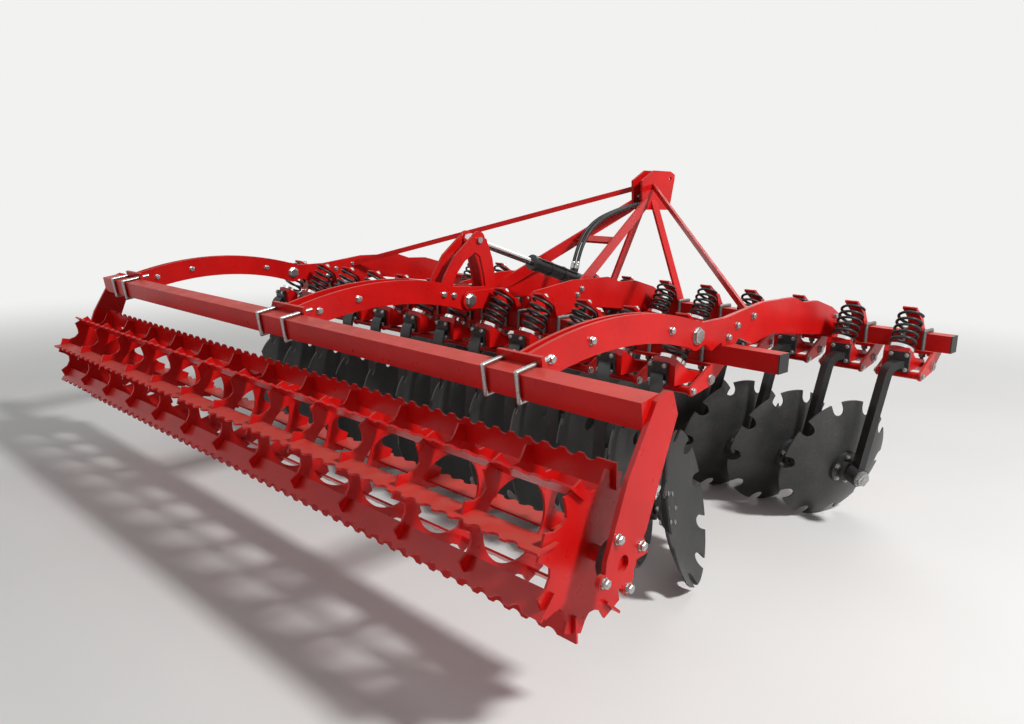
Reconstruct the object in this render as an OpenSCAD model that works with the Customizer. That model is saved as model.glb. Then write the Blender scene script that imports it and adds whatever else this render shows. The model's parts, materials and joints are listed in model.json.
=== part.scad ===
// Mounted compact disc harrow: two rows of sprung notched discs and a bar roller.
// +X is the machine's right, +Y is forward to the tractor, +Z is up.
// The origin is on the ground below the middle of the machine.

/* [Beams] */
// Side of the square section of both beams
beam_size = 80; // [70:1:90]
// Distance between the front and the rear beam
row_distance = 1070; // [1000:10:1200]
// How far a beam runs on past its last hanger
beam_overhang = 160; // [110:1:200]
// How far a beam runs on past the side longitudinal at its short end
beam_short_overhang = 250; // [100:5:300]
// Thickness of the plastic end caps
end_cap_t = 6; // [3:1:12]

/* [Discs] */
// Outer diameter of a disc
disc_d = 620; // [560:5:640]
// Thickness of a disc
disc_t = 6; // [4:0.5:8]
// Radius of the dish
disc_curve_r = 650; // [600:10:800]
// Distance between the discs of one row
disc_spacing = 270; // [262:1:290]
// Angle of a disc to the line of travel
disc_angle = 22; // [15:1:24]
// Undercut: how far a disc's axis dips below level
disc_tilt = 13; // [8:1:15]
// Distance of a disc's centre behind its beam
disc_back = 350; // [330:5:380]
// Distance of a disc's centre below its beam
disc_drop = 570; // [550:5:620]
// Radius of the round bottomed notches
notch_r = 30; // [20:1:36]
// How deep a notch reaches in from the rim
notch_depth = 52; // [40:1:60]

/* [Hubs] */
// Diameter of the hub flange
flange_d = 164; // [130:1:190]
// Thickness of the hub flange
flange_t = 12; // [8:1:16]
// Diameter of the hub barrel
hub_d = 96; // [80:1:110]
// Diameter of the stub axle
axle_d = 40; // [30:1:50]
// Distance from the disc's rim plane to the middle of the arm's boss
boss_reach = 155; // [150:1:170]
// Diameter of the arm's boss
boss_d = 88; // [70:1:100]
// Length of the arm's boss
boss_l = 56; // [50:1:60]

/* [Arms] */
// Width of the arm's bar
arm_w = 52; // [40:1:56]
// Thickness of the arm's bar
arm_t = 34; // [24:1:40]
// Radius of the arm's bend
arm_bend_r = 62; // [50:1:80]
// Side of the arm's mounting plate
arm_pad = 92; // [70:1:96]
// Thickness of the arm's mounting plate
arm_pad_t = 16; // [10:1:20]

/* [Hangers] */
// Width of a hanger over its cheeks
hanger_w = 200; // [180:1:220]
// Thickness of a hanger's cheek
cheek_t = 12; // [8:1:16]
// Thickness of the clamp plate below the beam
clamp_t = 14; // [10:1:20]
// Diameter of the clamp bolts
clamp_bolt_d = 18; // [14:1:20]
// Distance between the two clamp bolts
clamp_pitch = 92; // [86:1:110]
// Diameter of the cross tube at the bottom of the hanger
stop_tube_d = 34; // [26:1:38]
// Diameter of the arm holder's pivot pin
holder_pin_d = 24; // [20:1:28]
// Width of the arm holder
holder_w = 112; // [100:1:130]

/* [Springs] */
// Outer diameter of a spring
spring_d = 118; // [100:1:124]
// Diameter of the spring's wire
wire_d = 14; // [10:1:16]
// Length of a spring as fitted
spring_l = 176; // [150:1:190]
// Lean of the spring towards its beam
spring_lean = 32; // [25:1:36]
// Thickness of the spring's lower seat
seat_t = 16; // [10:1:20]
// Width of the strap that holds the spring's top
strap_w = 62; // [50:1:68]
// Thickness of the strap that holds the spring's top
strap_t = 13; // [8:1:16]

/* [Longitudinals] */
// Thickness of the two side longitudinals
side_plate_t = 20; // [12:1:24]
// Thickness of the two inner longitudinals
inner_plate_t = 14; // [10:1:18]
// Side of the square tube that carries the cylinder
cross_tube = 70; // [60:1:80]
// Thickness of the two plates that carry the centre arm
pivot_plate_t = 12; // [10:1:14]
// Clear width between the two plates that carry the centre arm
centre_gap = 112; // [108:1:116]

/* [Roller] */
// Length of the roller tube
tube_l = 3730; // [3600:10:3790]
// Distance of the roller tube's centre behind the rear beam
tube_back = 1300; // [1200:10:1400]
// Height of the roller tube's centre above the beams' centre
tube_rise = 84; // [60:2:120]
// Angle that the tube is turned by with its arms
tube_tilt = 10; // [0:1:15]
// Diameter over the roller's bars
roller_d = 500; // [460:5:540]
// Distance of the roller's axis behind the rear beam
roller_back = 1410; // [1380:5:1460]
// Distance of the roller's axis below the beams' centre
roller_drop = 306; // [290:2:330]
// Width of a roller bar
bar_w = 80; // [60:1:90]
// Thickness of a roller bar
bar_t = 8; // [6:1:12]
// Lean of the bars from the radius
bar_lean = 25; // [15:1:30]
// Distance between the scallops along a bar
scallop_pitch = 68; // [60:1:76]
// Radius of the scallops
scallop_r = 26; // [22:1:28]
// How deep a scallop reaches in from the bar's edge
scallop_depth = 14; // [10:1:18]
// Thickness of the roller's ring plates
ring_t = 8; // [6:1:12]
// Radius of the hole in the ring plates
ring_hole_r = 132; // [110:1:140]
// Diameter of the roller's shaft
shaft_d = 45; // [35:1:50]

/* [Roller arms] */
// Distance of the arms' pivot behind the rear beam
pivot_back = 285; // [270:5:310]
// Height of the arms' pivot above the beams' centre
pivot_rise = 112; // [105:1:125]
// Diameter of the pivot pins
pivot_pin_d = 35; // [25:1:40]
// Depth of an arm plate
roller_arm_h = 110; // [90:1:130]
// Thickness of an arm plate
roller_arm_t = 14; // [10:1:16]
// How far an arm arches above its chord
roller_arm_rise = 80; // [66:2:94]
// Diameter of the roller tube's clamp bolts
tube_bolt_d = 16; // [12:1:20]
// Distance of a tube clamp bolt from its arm plate
tube_bolt_reach = 54; // [46:1:64]
// Thickness of the side plates at the tube's ends
end_plate_t = 15; // [10:1:18]

/* [Cylinder] */
// Diameter of the cylinder's barrel
barrel_d = 76; // [60:1:78]
// Diameter of the cylinder's rod
rod_d = 38; // [30:1:45]
// Diameter of the cylinder's pins
cylinder_pin_d = 30; // [25:1:35]
// Height of the rod's eye above the beams' centre
eye_rise = 408; // [390:2:430]
// Distance of the rod's eye behind the rear beam
eye_back = 218; // [200:2:240]
// Diameter of the hoses
hose_d = 20; // [16:1:22]
// Width of the rod's eye
rod_eye_w = 56; // [45:1:70]
// Distance of the barrel's pin in front of the rear beam
base_front = 755; // [720:5:765]
// Height of the barrel's pin above the beams' centre
base_rise = 120; // [110:2:135]

/* [Headstock] */
// Distance of the top link hole in front of the front beam
top_link_front = 395; // [360:5:420]
// Height of the top link hole above the beams' centre
top_link_rise = 755; // [700:5:780]
// Diameter of the top link hole
top_link_d = 25.7; // [25.4:0.1:32.5]
// Clear width of the top link clevis
top_link_gap = 54; // [52:1:60]
// Thickness of the tower's plates
tower_t = 14; // [10:1:18]
// Distance between the middles of the two lower link clevises
lower_link_span = 683; // [680:1:690]
// Distance of the lower link holes in front of the front beam
lower_link_front = 380; // [350:5:400]
// Distance of the lower link holes below the beams' centre
lower_link_drop = 60; // [40:2:80]
// Diameter of the lower link holes
lower_link_d = 28.7; // [28.4:0.1:37.5]
// Clear width of a lower link clevis
lower_link_gap = 60; // [56:1:64]

/* [Hidden] */
$fn = 64;
overrun = 2;
seat_gap = 0.3;
pin_gap = 0.8;
run_gap = 16;
side_gap = 5;
discs_per_row = 12;
rim_fn = 180;
notches = 10;
bars = 8;
rings = 11;
spring_turns = 5;
turn_lap = 2;
wire_step = 0.8;

// Places along the rows: the rear row is the front row's mirror image.
half_beam = beam_size / 2;
row_middle = (discs_per_row - 1) / 2;
function bracket_x(i) = disc_spacing + (row_middle - i) * disc_spacing;
beam_long_end = bracket_x(0) + beam_overhang;
left_plate_x = disc_spacing / 2 - bracket_x(0);
right_plate_x = disc_spacing / 2 - bracket_x(discs_per_row - 1);
inner_plate_x = disc_spacing;
beam_short_end = right_plate_x + beam_short_overhang;
front_beam_left = left_plate_x - beam_size;

// Disc: its centre is in the plane of the rim's outer edge.
disc_r = disc_d / 2;
disc_side_share = 0.75;
disc_side = disc_spacing * disc_side_share;
beam_z = disc_drop + disc_r * cos(disc_tilt);
dish_offset = sqrt(disc_curve_r * disc_curve_r - disc_r * disc_r);
dish = disc_curve_r - dish_offset;
disc_centre = [-disc_side, -disc_back, -disc_drop];
disc_axis = [cos(disc_tilt) * cos(disc_angle), -cos(disc_tilt) * sin(disc_angle), -sin(disc_tilt)];
notch_turn = 360 / notches;
notch_phase_shares = [-0.1, 0.08, 0, -0.06, 0.12, 0.04, -0.12];
function notch_phase(i) = notch_turn * notch_phase_shares[i % len(notch_phase_shares)];
boss_half = boss_l / 2;
hub_end = boss_reach - boss_half - run_gap;
cap_d = flange_d * 0.66;
cap_l = flange_t;

// Spring: its lower end is where the seat carries it.
seat_centre = [0, -half_beam - spring_d * 1.4, -half_beam * 0.375];
lean_axis = [0, sin(spring_lean), cos(spring_lean)];
spring_r = (spring_d - wire_d) / 2;
spring_pitch = (spring_l - wire_d) / spring_turns;
coil_tilt = atan(spring_pitch / 4 / spring_r);

// Hanger: the clamp plate lies against the beam's underside.
clamp_top = -half_beam;
clamp_depth = beam_size + 3 * clamp_bolt_d;
leg_y = half_beam + clamp_bolt_d / 2 + seat_gap;
cheek_x = hanger_w / 2 - cheek_t;
holder_pin = [-0.72 * beam_size, clamp_top - 0.84 * beam_size];
stop_tube = [-2.4 * beam_size, clamp_top - 1.22 * beam_size];
stop_boss_r = stop_tube_d * 0.66;
holder_boss_r = holder_pin_d * 1.2;

// Arm: from the holder's back, over a bend and down to the boss.
pad_y = seat_centre[1] - spring_d / 2;
arm_start = [arm_pad * 0.22, pad_y - arm_pad_t, clamp_top - arm_pad * 0.42];
boss_centre = disc_centre + boss_reach * disc_axis;
arm_run = boss_centre - arm_start;
arm_turn = atan2(arm_run[0], -arm_run[1]);
arm_level = norm([arm_run[0], arm_run[1]]);
arm_fall = arm_run[2];
bend_to_boss = [-arm_level, arm_fall + arm_bend_r];
arm_straight = sqrt(bend_to_boss * bend_to_boss - arm_bend_r * arm_bend_r);
arm_bend = (atan2(bend_to_boss[1], bend_to_boss[0]) + 360) % 360 - 90 - atan2(arm_straight, arm_bend_r);

// Roller frame, seen from the right.
pivot = [-pivot_back, pivot_rise];
tube_centre = [-tube_back, tube_rise];
flange_plate_t = roller_arm_t;
roller_axis = [-roller_back, -roller_drop];
roller_r = roller_d / 2;
half_tube = tube_l / 2;
bar_half_l = half_tube - 1.6 * shaft_d;
bar_mid_r = roller_r - bar_w / 2 * cos(bar_lean);
bar_turn = 360 / bars;
scallops = floor(bar_half_l / scallop_pitch - 0.5);
first_bar = 20;
arm_chord = [tube_centre[0] - pivot[0], tube_centre[1] - pivot[1]];
arm_chord_l = norm(arm_chord);
arm_curve_r = (arm_chord_l * arm_chord_l / 4 + roller_arm_rise * roller_arm_rise) / (2 * roller_arm_rise);
arm_half_angle = asin(arm_chord_l / 2 / arm_curve_r);
side_arm_x = side_plate_t / 2 + pin_gap + roller_arm_t / 2;
centre_arm_x = centre_gap / 2 - side_gap - roller_arm_t / 2;

// Cylinder in the centre plane.
eye = [-eye_back, eye_rise];
base = [base_front, base_rise];
cylinder_run = eye - base;
cylinder_l = norm(cylinder_run);
cylinder_angle = atan2(cylinder_run[1], -cylinder_run[0]);
gland_share = 0.54;
barrel_l = cylinder_l * gland_share;
port_x = 0.75 * hose_d;

// Hoses: route in Y and Z from above the barrel's ports to their holder in the tower.
hose_sides = 10;
hose_steps = 2;
hose_route = [
    [598, 225], [615, 283], [650, 360], [715, 440], [810, 500],
    [930, 540], [1050, 568], [1170, 590], [1290, 604], [1370, 604]
];
hose_spans = len(hose_route) - 1;
hose_end = hose_route[hose_spans];
function route_point(i) = hose_route[max(0, min(hose_spans, i))];
function hose_point(i, u) =
    let (a = route_point(i - 1), b = route_point(i), c = route_point(i + 1), d = route_point(i + 2))
    b + u / 2 * (c - a) + u * u * (a - 2.5 * b + 2 * c - d / 2) + u * u * u * (1.5 * (b - c) + (d - a) / 2);
hose_line = concat(
    [for (i = [0 : hose_spans - 1], k = [0 : hose_steps - 1]) hose_point(i, k / hose_steps)],
    [hose_end]
);
hose_rings = len(hose_line);
function hose_way(k) =
    hose_line[min(hose_rings - 1, k + 1)] - hose_line[max(0, k - 1)];

// Extent in Y, to centre the machine on its origin.
function bar_edge_y(i, side) =
    let (turn = first_bar + i * bar_turn, lean = turn - bar_lean)
    bar_mid_r * -sin(turn) + bar_w / 2 * -sin(lean) + side * bar_t / 2 * cos(lean);
roller_rear = roller_axis[0] + min([for (i = [0 : bars - 1], side = [-1, 1]) bar_edge_y(i, side)]);
tower_reach = 1.9 * top_link_d;
lower_ear_r = 1.5 * lower_link_d;
machine_front = row_distance + max(top_link_front + tower_reach, lower_link_front + lower_ear_r);
y_middle = (machine_front + roller_rear) / 2;

function disc_name(row, i) = str(row, "_disc_", i < 9 ? "0" : "", i + 1);

// The whole machine is drawn from the rear beam's middle and moved onto its origin.
module machine() {
    translate([0, -y_middle, beam_z]) children();
}

module front_row() {
    for (i = [0 : discs_per_row - 1])
        translate([bracket_x(i), row_distance, 0]) children();
}

module rear_row() {
    for (i = [0 : discs_per_row - 1])
        translate([-bracket_x(i), 0, 0]) mirror([1, 0, 0]) children();
}

module both_rows() {
    front_row() children();
    rear_row() children();
}

// Turns an outline drawn in Y and Z into a plate across X, centred on x.
module side_plate(x, t) {
    translate([x - t / 2, 0, 0]) rotate([90, 0, 90]) linear_extrude(t) children();
}

// A round bar across X.
module cross_bar(x, yz, d, l) {
    translate([x - l / 2, yz[0], yz[1]]) rotate([0, 90, 0]) cylinder(d = d, h = l);
}

// A flat bar from one point to another, its width across the way it leans.
module flat_bar(from, to, w, t) {
    run = to - from;
    translate(from)
        rotate([0, acos(run[2] / norm(run)), atan2(run[1], run[0])])
        translate([-t / 2, -w / 2, 0])
        cube([t, w, norm(run)]);
}

// A disc's own frame: z along its axis on the hollow's back, x to its lowest point.
module disc_frame() {
    translate(disc_centre) rotate([0, 90 + disc_tilt, -disc_angle]) children();
}

module square_beam(from, to) {
    translate([from, -half_beam, -half_beam]) cube([to - from, beam_size, beam_size]);
}

module front_beam() {
    color("firebrick") machine() translate([0, row_distance, 0])
        square_beam(front_beam_left, beam_long_end);
}

module rear_beam() {
    color("firebrick") machine() square_beam(-beam_long_end, beam_short_end);
}

module beam_end_caps() {
    color("#222222") machine() {
        for (x = [front_beam_left - end_cap_t, beam_long_end])
            translate([0, row_distance, 0]) square_beam(x, x + end_cap_t);
        for (x = [-beam_long_end - end_cap_t, beam_short_end])
            square_beam(x, x + end_cap_t);
    }
}

// Outline of a longitudinal: a humped plate that stands on both beams.
module longitudinal_outline() {
    polygon([
        [-0.8 * beam_size, half_beam],
        [0.6 * beam_size, half_beam],
        [0.9 * beam_size, 0.8 * beam_size],
        [2.5 * beam_size, 0.28 * beam_size],
        [4.75 * beam_size, 0.66 * beam_size],
        [row_distance - 5.3 * beam_size, 0.24 * beam_size],
        [row_distance - 2 * beam_size, -0.14 * beam_size],
        [row_distance - half_beam, -0.14 * beam_size],
        [row_distance - half_beam, half_beam],
        [row_distance + 0.45 * beam_size, half_beam],
        [row_distance + 0.45 * beam_size, 0.9 * beam_size],
        [row_distance - 0.9 * beam_size, 1.5 * beam_size],
        [row_distance - 3.1 * beam_size, 2.06 * beam_size],
        [row_distance - 5 * beam_size, 2.1 * beam_size],
        [row_distance - 6.3 * beam_size, 2.5 * beam_size],
        [3.2 * beam_size, 2.5 * beam_size],
        [-0.55 * beam_size, 2 * beam_size],
        [-0.8 * beam_size, 1.7 * beam_size]
    ]);
}

// Outline of a plate's tail, from the rear beam back to the arms' pivot.
module tail_outline() {
    polygon([
        [pivot[0], pivot[1] - 1.25 * pivot_pin_d],
        [-2.4 * beam_size, 0.8 * beam_size],
        [-1.8 * beam_size, 0.4 * beam_size],
        [-0.9 * beam_size, 0.75 * beam_size],
        [-0.7 * beam_size, half_beam],
        [half_beam, half_beam],
        [0.55 * beam_size, 1.2 * beam_size],
        [-0.55 * beam_size, 2 * beam_size],
        [pivot[0], pivot[1] + 1.25 * pivot_pin_d]
    ]);
    translate(pivot) circle(r = pivot_pin_d * 1.3);
}

module pivot_hole() {
    translate(pivot) circle(d = pivot_pin_d + 2 * seat_gap);
}

module side_longitudinals() {
    color("red") machine() for (x = [left_plate_x, right_plate_x])
        side_plate(x, side_plate_t) difference() {
            union() {
                longitudinal_outline();
                tail_outline();
            }
            pivot_hole();
        }
}

module inner_longitudinals() {
    color("red") machine() for (x = [-inner_plate_x, inner_plate_x])
        side_plate(x, inner_plate_t) longitudinal_outline();
}

// Two short plates on the rear beam that carry the centre arm's pin.
module pivot_plates() {
    color("red") machine() for (s = [-1, 1])
        side_plate(s * (centre_gap + pivot_plate_t) / 2, pivot_plate_t) difference() {
            tail_outline();
            pivot_hole();
        }
}

// Square tube between the inner longitudinals with two lugs for the barrel's pin.
inner_face = inner_plate_x - inner_plate_t / 2;
mount_z = base[1] - 1.2 * cross_tube;
lug_x = barrel_d / 2 + pin_gap + tower_t / 2;
module cylinder_mount() {
    color("red") machine() {
        translate([-inner_face, base[0] - cross_tube / 2, mount_z - cross_tube / 2])
            cube([2 * inner_face, cross_tube, cross_tube]);
        for (s = [-1, 1])
            side_plate(s * lug_x, tower_t) difference() {
                union() {
                    translate([base[0] - cross_tube / 2, mount_z])
                        square([cross_tube, base[1] - mount_z]);
                    translate(base) circle(d = cross_tube);
                }
                translate(base) circle(d = cylinder_pin_d + 2 * seat_gap);
            }
    }
}

top_link = [row_distance + top_link_front, top_link_rise];
module tower_cheeks() {
    color("red") machine() for (x = [-1, 1])
        side_plate(x * (top_link_gap + tower_t) / 2, tower_t)
            difference() {
                polygon([
                    top_link + [tower_reach, 0],
                    top_link + [tower_reach, top_link_d],
                    top_link + [0, 1.75 * top_link_d],
                    top_link + [-7 * top_link_d, 1.75 * top_link_d],
                    top_link + [-11.8 * top_link_d, -0.8 * top_link_d],
                    top_link + [-11.1 * top_link_d, -7.6 * top_link_d],
                    top_link + [0.3 * top_link_d, -7.6 * top_link_d]
                ]);
                translate(top_link) circle(d = top_link_d);
            }
}

// Plate between the tower's cheeks that the hoses end in.
module hose_holder() {
    color("red") machine()
        translate([seat_gap - top_link_gap / 2, hose_end[0] + seat_gap, hose_end[1] - 2 * hose_d])
        cube([top_link_gap - 2 * seat_gap, tower_t, 4 * hose_d]);
}

// Keeps what lies between two faces across X and above a height, on both sides.
module kept_between(x_in, x_out, floor_z) {
    intersection() {
        children();
        translate([x_in, -row_distance, floor_z])
            cube([x_out - x_in, 3 * row_distance, 2 * top_link_rise]);
    }
}

// A flat bar whose ends run on past its two points, to be cut flush.
module long_bar(from, to, w, t) {
    past = beam_size * (to - from) / norm(to - from);
    flat_bar(from - past, to + past, w, t);
}

tower_out = top_link_gap / 2 + tower_t;
leg_w = 0.8 * beam_size;
leg_place = top_link[0] - 6.4 * top_link_d;
ear_face = (lower_link_span - lower_link_gap) / 2 - tower_t;
module tower_legs() {
    color("red") machine() for (s = [0, 1]) mirror([s, 0, 0])
        kept_between(tower_out, ear_face, -2 * beam_size)
            long_bar(
                [tower_out, leg_place, top_link[1] - 6 * top_link_d],
                [ear_face, leg_place, -0.4 * beam_size],
                leg_w, tower_t);
}

brace_top = [tower_out, top_link[0] - 10.3 * top_link_d, top_link[1] - 6.4 * top_link_d];
brace_foot = [inner_face, 3.7 * beam_size, 1.65 * beam_size];
brace_run = brace_foot - brace_top;
brace_slope = atan2(brace_run[2], brace_run[1]);
brace_lean_share = -brace_run[1] / norm([brace_run[0], brace_run[1]]);
link_share = 0.45;
link_place = brace_top + link_share * brace_run;

// The braces, and the link that lies between them.
module tower_braces() {
    color("red") machine() {
        for (s = [0, 1]) mirror([s, 0, 0])
            kept_between(tower_out, inner_face, 0)
                long_bar(brace_top, brace_foot, tower_t, leg_w);
        difference() {
            translate([-link_place[0], link_place[1], link_place[2]]) rotate([brace_slope, 0, 0])
                translate([0, -leg_w / 2, -tower_t / 2])
                cube([2 * link_place[0], leg_w, tower_t]);
            for (s = [0, 1]) mirror([s, 0, 0])
                translate([leg_w / brace_lean_share, 0, 0])
                long_bar(brace_top, brace_foot, tower_t + 2 * (leg_w + seat_gap), 2 * leg_w);
        }
    }
}

tie_top = [tower_out, top_link[0] - 7 * top_link_d, top_link[1] - 2 * top_link_d];
module diagonal_tie(face) {
    kept_between(tower_out, face, 0)
        long_bar(tie_top, [face, 2.25 * beam_size, 1.85 * beam_size], tower_t, leg_w / 2);
}

module diagonal_ties() {
    color("red") machine() {
        diagonal_tie(right_plate_x - side_plate_t / 2);
        mirror([1, 0, 0]) diagonal_tie(-left_plate_x - side_plate_t / 2);
    }
}

lower_link = [row_distance + lower_link_front, -lower_link_drop];
module lower_link_ears() {
    color("red") machine() for (x = [-lower_link_span / 2, lower_link_span / 2], s = [-1, 1])
        side_plate(x + s * (lower_link_gap + tower_t) / 2, tower_t)
            difference() {
                union() {
                    translate(lower_link) circle(r = lower_ear_r);
                    polygon([
                        [row_distance + half_beam, half_beam],
                        [row_distance + half_beam, -0.15 * beam_size],
                        lower_link + [0, -lower_ear_r],
                        lower_link + [0.6 * lower_ear_r, 0.8 * lower_ear_r]
                    ]);
                }
                translate(lower_link) circle(d = lower_link_d);
            }
}

// Hanger: clamp plate, two cheeks, the cross tube and the arm holder's pin.
module hanger() {
    difference() {
        translate([-hanger_w / 2, -clamp_depth / 2, clamp_top - clamp_t])
            cube([hanger_w, clamp_depth, clamp_t]);
        for (x = [-1, 1], y = [-1, 1])
            translate([x * clamp_pitch / 2, y * leg_y, clamp_top - clamp_t - overrun])
                cylinder(d = clamp_bolt_d + 2 * pin_gap, h = clamp_t + 2 * overrun);
    }
    for (x = [-1, 1])
        side_plate(x * (hanger_w - cheek_t) / 2, cheek_t) {
            polygon([
                [clamp_depth / 2, clamp_top - clamp_t / 2],
                [-clamp_depth / 2, clamp_top - clamp_t / 2],
                stop_tube + [-stop_boss_r * 0.6, stop_boss_r * 0.8],
                stop_tube + [-stop_boss_r * 0.2, -stop_boss_r],
                holder_pin + [0, -holder_boss_r],
                holder_pin + [holder_boss_r, -holder_boss_r * 0.4]
            ]);
            translate(stop_tube) circle(r = stop_boss_r);
            translate(holder_pin) circle(r = holder_boss_r);
        }
    cross_bar(0, stop_tube, stop_tube_d, hanger_w);
    cross_bar(0, holder_pin, holder_pin_d, hanger_w + 2 * cheek_t);
}

module front_hangers() {
    color("red") machine() front_row() hanger();
}

module rear_hangers() {
    color("red") machine() rear_row() hanger();
}

// Arm holder: swings on the hanger's pin, carries the spring's seat and the arm.
seat_pad = [seat_centre[1], seat_centre[2]] - (seat_t + seat_gap) * [lean_axis[1], lean_axis[2]];
seat_across = [lean_axis[2], -lean_axis[1]];
holder_low = stop_tube[1] + stop_tube_d / 2 + clamp_t / 2;
module arm_holder() {
    side_plate(0, holder_w) difference() {
        union() {
            polygon([
                seat_pad + seat_across * spring_d * 0.52,
                seat_pad - seat_across * spring_d * 0.42,
                [pad_y, seat_pad[1]],
                [pad_y, holder_low],
                [stop_tube[0] + spring_d / 2, holder_low],
                holder_pin + [0, -holder_boss_r],
                holder_pin + [holder_boss_r * 0.6, holder_boss_r * 0.8]
            ]);
            translate(holder_pin) circle(r = holder_boss_r);
        }
        translate(holder_pin) circle(d = holder_pin_d + 2 * pin_gap);
    }
}

module arm_holders() {
    color("darkred") machine() both_rows() arm_holder();
}

// Square bend clamp bolt over the beam.
module clamp_bolt() {
    leg_l = beam_size + clamp_t + 1.5 * clamp_bolt_d;
    top = half_beam + clamp_bolt_d / 2 + seat_gap;
    for (y = [-leg_y, leg_y]) {
        translate([0, y, top - leg_l]) cylinder(d = clamp_bolt_d, h = leg_l);
        translate([0, y, top]) sphere(d = clamp_bolt_d);
    }
    translate([0, -leg_y, top]) rotate([-90, 0, 0]) cylinder(d = clamp_bolt_d, h = 2 * leg_y);
}

module clamp_bolts() {
    color("dimgray") machine() both_rows()
        for (x = [-1, 1]) translate([x * clamp_pitch / 2, 0, 0]) clamp_bolt();
}

// Strap: stands on the beam and holds the spring's top.
spring_top = [seat_centre[1], seat_centre[2]] + (spring_l + seat_gap) * [lean_axis[1], lean_axis[2]];
module spring_strap() {
    up = strap_t * [lean_axis[1], lean_axis[2]];
    front = spring_top + seat_across * spring_d * 0.45;
    back = spring_top - seat_across * spring_d * 0.4;
    side_plate(0, strap_w) {
        polygon([
            [half_beam * 0.7, half_beam],
            [half_beam * 0.7, half_beam + strap_t],
            [0, half_beam + strap_t],
            front + up + [strap_t, 0],
            front + up,
            back + up,
            back,
            front,
            [-half_beam, half_beam]
        ]);
        translate(back + up / 2) circle(d = strap_t);
    }
}

module spring_straps() {
    color("red") machine() both_rows() spring_strap();
}

module spring_frame() {
    translate(seat_centre) rotate([-spring_lean, 0, 0]) children();
}

module spring_seats() {
    color("silver") machine() both_rows() spring_frame()
        translate([0, 0, -seat_t]) cylinder(d = spring_d, h = seat_t - seat_gap);
}

// Coil of half turns in tilted planes; every other one is a little thinner and ends inside its neighbours.
module coil() {
    for (k = [0 : 2 * spring_turns - 1]) {
        inner = k % 2;
        lap = turn_lap * (1 - inner);
        translate([0, 0, wire_d / 2 + (k + 0.5) * spring_pitch / 2])
            rotate([0, coil_tilt, inner * 180])
            rotate([0, 0, -lap])
            rotate_extrude(angle = 180 + 2 * lap)
                translate([spring_r / cos(coil_tilt), 0]) circle(d = wire_d - inner * wire_step);
    }
}

module springs() {
    color("#181818") machine() both_rows() spring_frame() coil();
}

// Arm: mounting plate, bend, bar, boss and stub axle; the bend is a little thicker than the bar.
bar_section = [arm_w - wire_step, arm_t - wire_step];
module arm() {
    translate([arm_start[0] - arm_pad / 2, pad_y - arm_pad_t, holder_low])
        cube([arm_pad, arm_pad_t - seat_gap, arm_pad]);
    difference() {
        translate(arm_start) rotate([0, 0, arm_turn]) {
            translate([0, 0, -arm_bend_r]) {
                rotate([90, 0, 90]) rotate([0, 0, 90]) rotate_extrude(angle = arm_bend)
                    translate([arm_bend_r, 0]) square([arm_t, arm_w], center = true);
                rotate([arm_bend, 0, 0])
                    translate([-bar_section[0] / 2, -arm_straight, arm_bend_r - bar_section[1] / 2])
                    cube([bar_section[0], arm_straight + overrun, bar_section[1]]);
            }
            translate([-bar_section[0] / 2, -overrun, -bar_section[1] / 2])
                cube([bar_section[0], arm_pad_t, bar_section[1]]);
        }
        translate([-arm_pad, pad_y - seat_gap, arm_start[2] - arm_pad])
            cube([3 * arm_pad, arm_pad, 2 * arm_pad]);
    }
    disc_frame() {
        translate([0, 0, boss_reach - boss_half]) cylinder(d = boss_d, h = boss_l);
        translate([0, 0, dish + flange_t])
            cylinder(d = axle_d, h = boss_reach + boss_half - dish);
    }
}

module front_arms() {
    color("#202020") machine() front_row() arm();
}

module rear_arms() {
    color("#202020") machine() rear_row() arm();
}

// Dished disc with round bottomed notches, its flange, hub barrel and cap.
module notched_disc(i) {
    disc_frame() difference() {
        union() {
            intersection() {
                translate([0, 0, -dish_offset]) difference() {
                    sphere(r = disc_curve_r, $fn = rim_fn);
                    sphere(r = disc_curve_r - disc_t, $fn = rim_fn);
                }
                translate([0, 0, -dish_offset / 2]) cylinder(r = disc_r, h = disc_curve_r, $fn = rim_fn);
            }
            translate([0, 0, dish - flange_t]) cylinder(d = flange_d, h = 2 * flange_t);
            translate([0, 0, dish]) cylinder(d = hub_d, h = hub_end - dish);
            translate([0, 0, dish - disc_t - cap_l]) cylinder(d = cap_d, h = 2 * cap_l);
        }
        translate([0, 0, dish + flange_t - 3 * pin_gap])
            cylinder(d = axle_d + 2 * pin_gap, h = boss_reach);
        for (k = [0 : notches - 1])
            rotate((k + 0.5) * notch_turn + notch_phase(i)) {
                translate([disc_r - notch_depth + notch_r, 0, -disc_t * 3])
                    cylinder(r = notch_r, h = dish);
                translate([disc_r - notch_depth + notch_r, -notch_r, -disc_t * 3])
                    cube([notch_depth, 2 * notch_r, dish]);
            }
    }
}

module front_disc(i) {
    color("#2c2a28") machine() translate([bracket_x(i), row_distance, 0]) notched_disc(i);
}

module rear_disc(i) {
    color("#2c2a28") machine() translate([-bracket_x(i), 0, 0]) mirror([1, 0, 0]) notched_disc(i);
}

module pivot_pins() {
    color("silver") machine() {
        for (x = [left_plate_x, right_plate_x])
            cross_bar(x, pivot, pivot_pin_d, side_plate_t + 4 * roller_arm_t);
        cross_bar(0, pivot, pivot_pin_d, centre_gap + 4 * pivot_plate_t);
        cross_bar(0, base, cylinder_pin_d, 2 * lug_x + 3 * tower_t);
    }
}

// Tube's own frame, turned with the arms.
module tube_frame() {
    translate([0, tube_centre[0], tube_centre[1]]) rotate([tube_tilt, 0, 0]) children();
}

module roller_tube() {
    color("firebrick") machine() tube_frame() square_beam(-half_tube, half_tube);
}

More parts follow.
